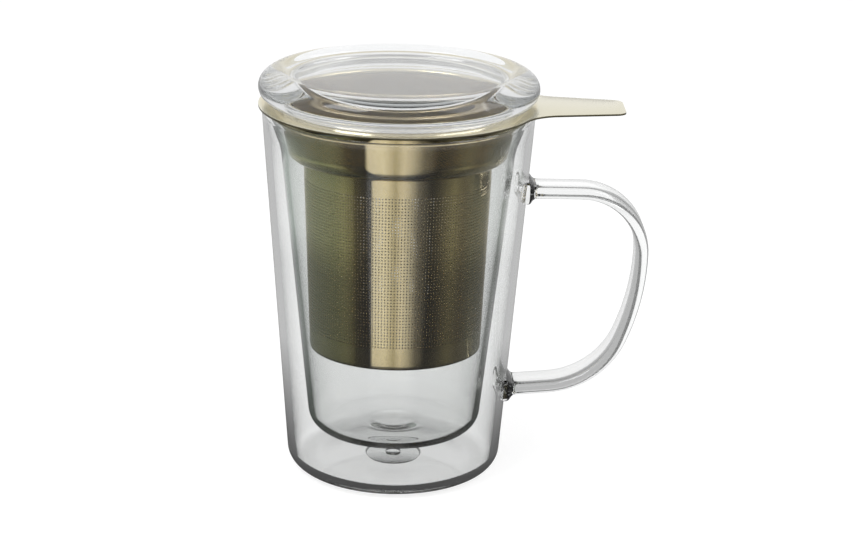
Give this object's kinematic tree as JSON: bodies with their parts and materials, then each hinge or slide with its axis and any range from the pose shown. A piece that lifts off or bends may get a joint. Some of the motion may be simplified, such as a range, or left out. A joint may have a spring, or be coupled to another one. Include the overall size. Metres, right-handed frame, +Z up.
{
  "type": "lidded tea mug with infuser",
  "caption": "Double-walled clear glass mug with a strap handle, a lift-out perforated metal infuser with a flat finger tab, and a loose dished glass lid.",
  "frame": {"origin": "centre of the mug's round foot, on the surface that the mug stands on", "axes": "+Z up along the mug's axis, +X towards the handle and the infuser's finger tab, +Y to the left of someone who looks along +X"},
  "size_m": [0.127, 0.09, 0.1336],
  "materials": {
    "glass": "clear borosilicate, polished",
    "seal": "clear silicone, satin",
    "gold_steel": "stainless steel with a pale gold coating, satin"
  },
  "bodies": {
    "mug": {"outer_glass": "glass", "inner_glass": "glass", "base_seal": "seal", "handle": "glass", "upper_handle_weld": "glass", "lower_handle_weld": "glass"},
    "infuser": {"rim_plate": "gold_steel", "collar": "gold_steel", "basket_wall": "gold_steel", "basket_base": "gold_steel"},
    "lid": {"lid_cap": "glass", "lid_foot_ring": "glass"}
  },
  "joints": [
    {"name": "infuser_lift", "type": "slide", "parent": "mug", "child": "infuser", "axis": [0, 0, 1], "range_m": [0, 0.09]},
    {"name": "lid_lift", "type": "slide", "parent": "infuser", "child": "lid", "axis": [0, 0, 1], "range_m": [0, 0.06]}
  ]
}
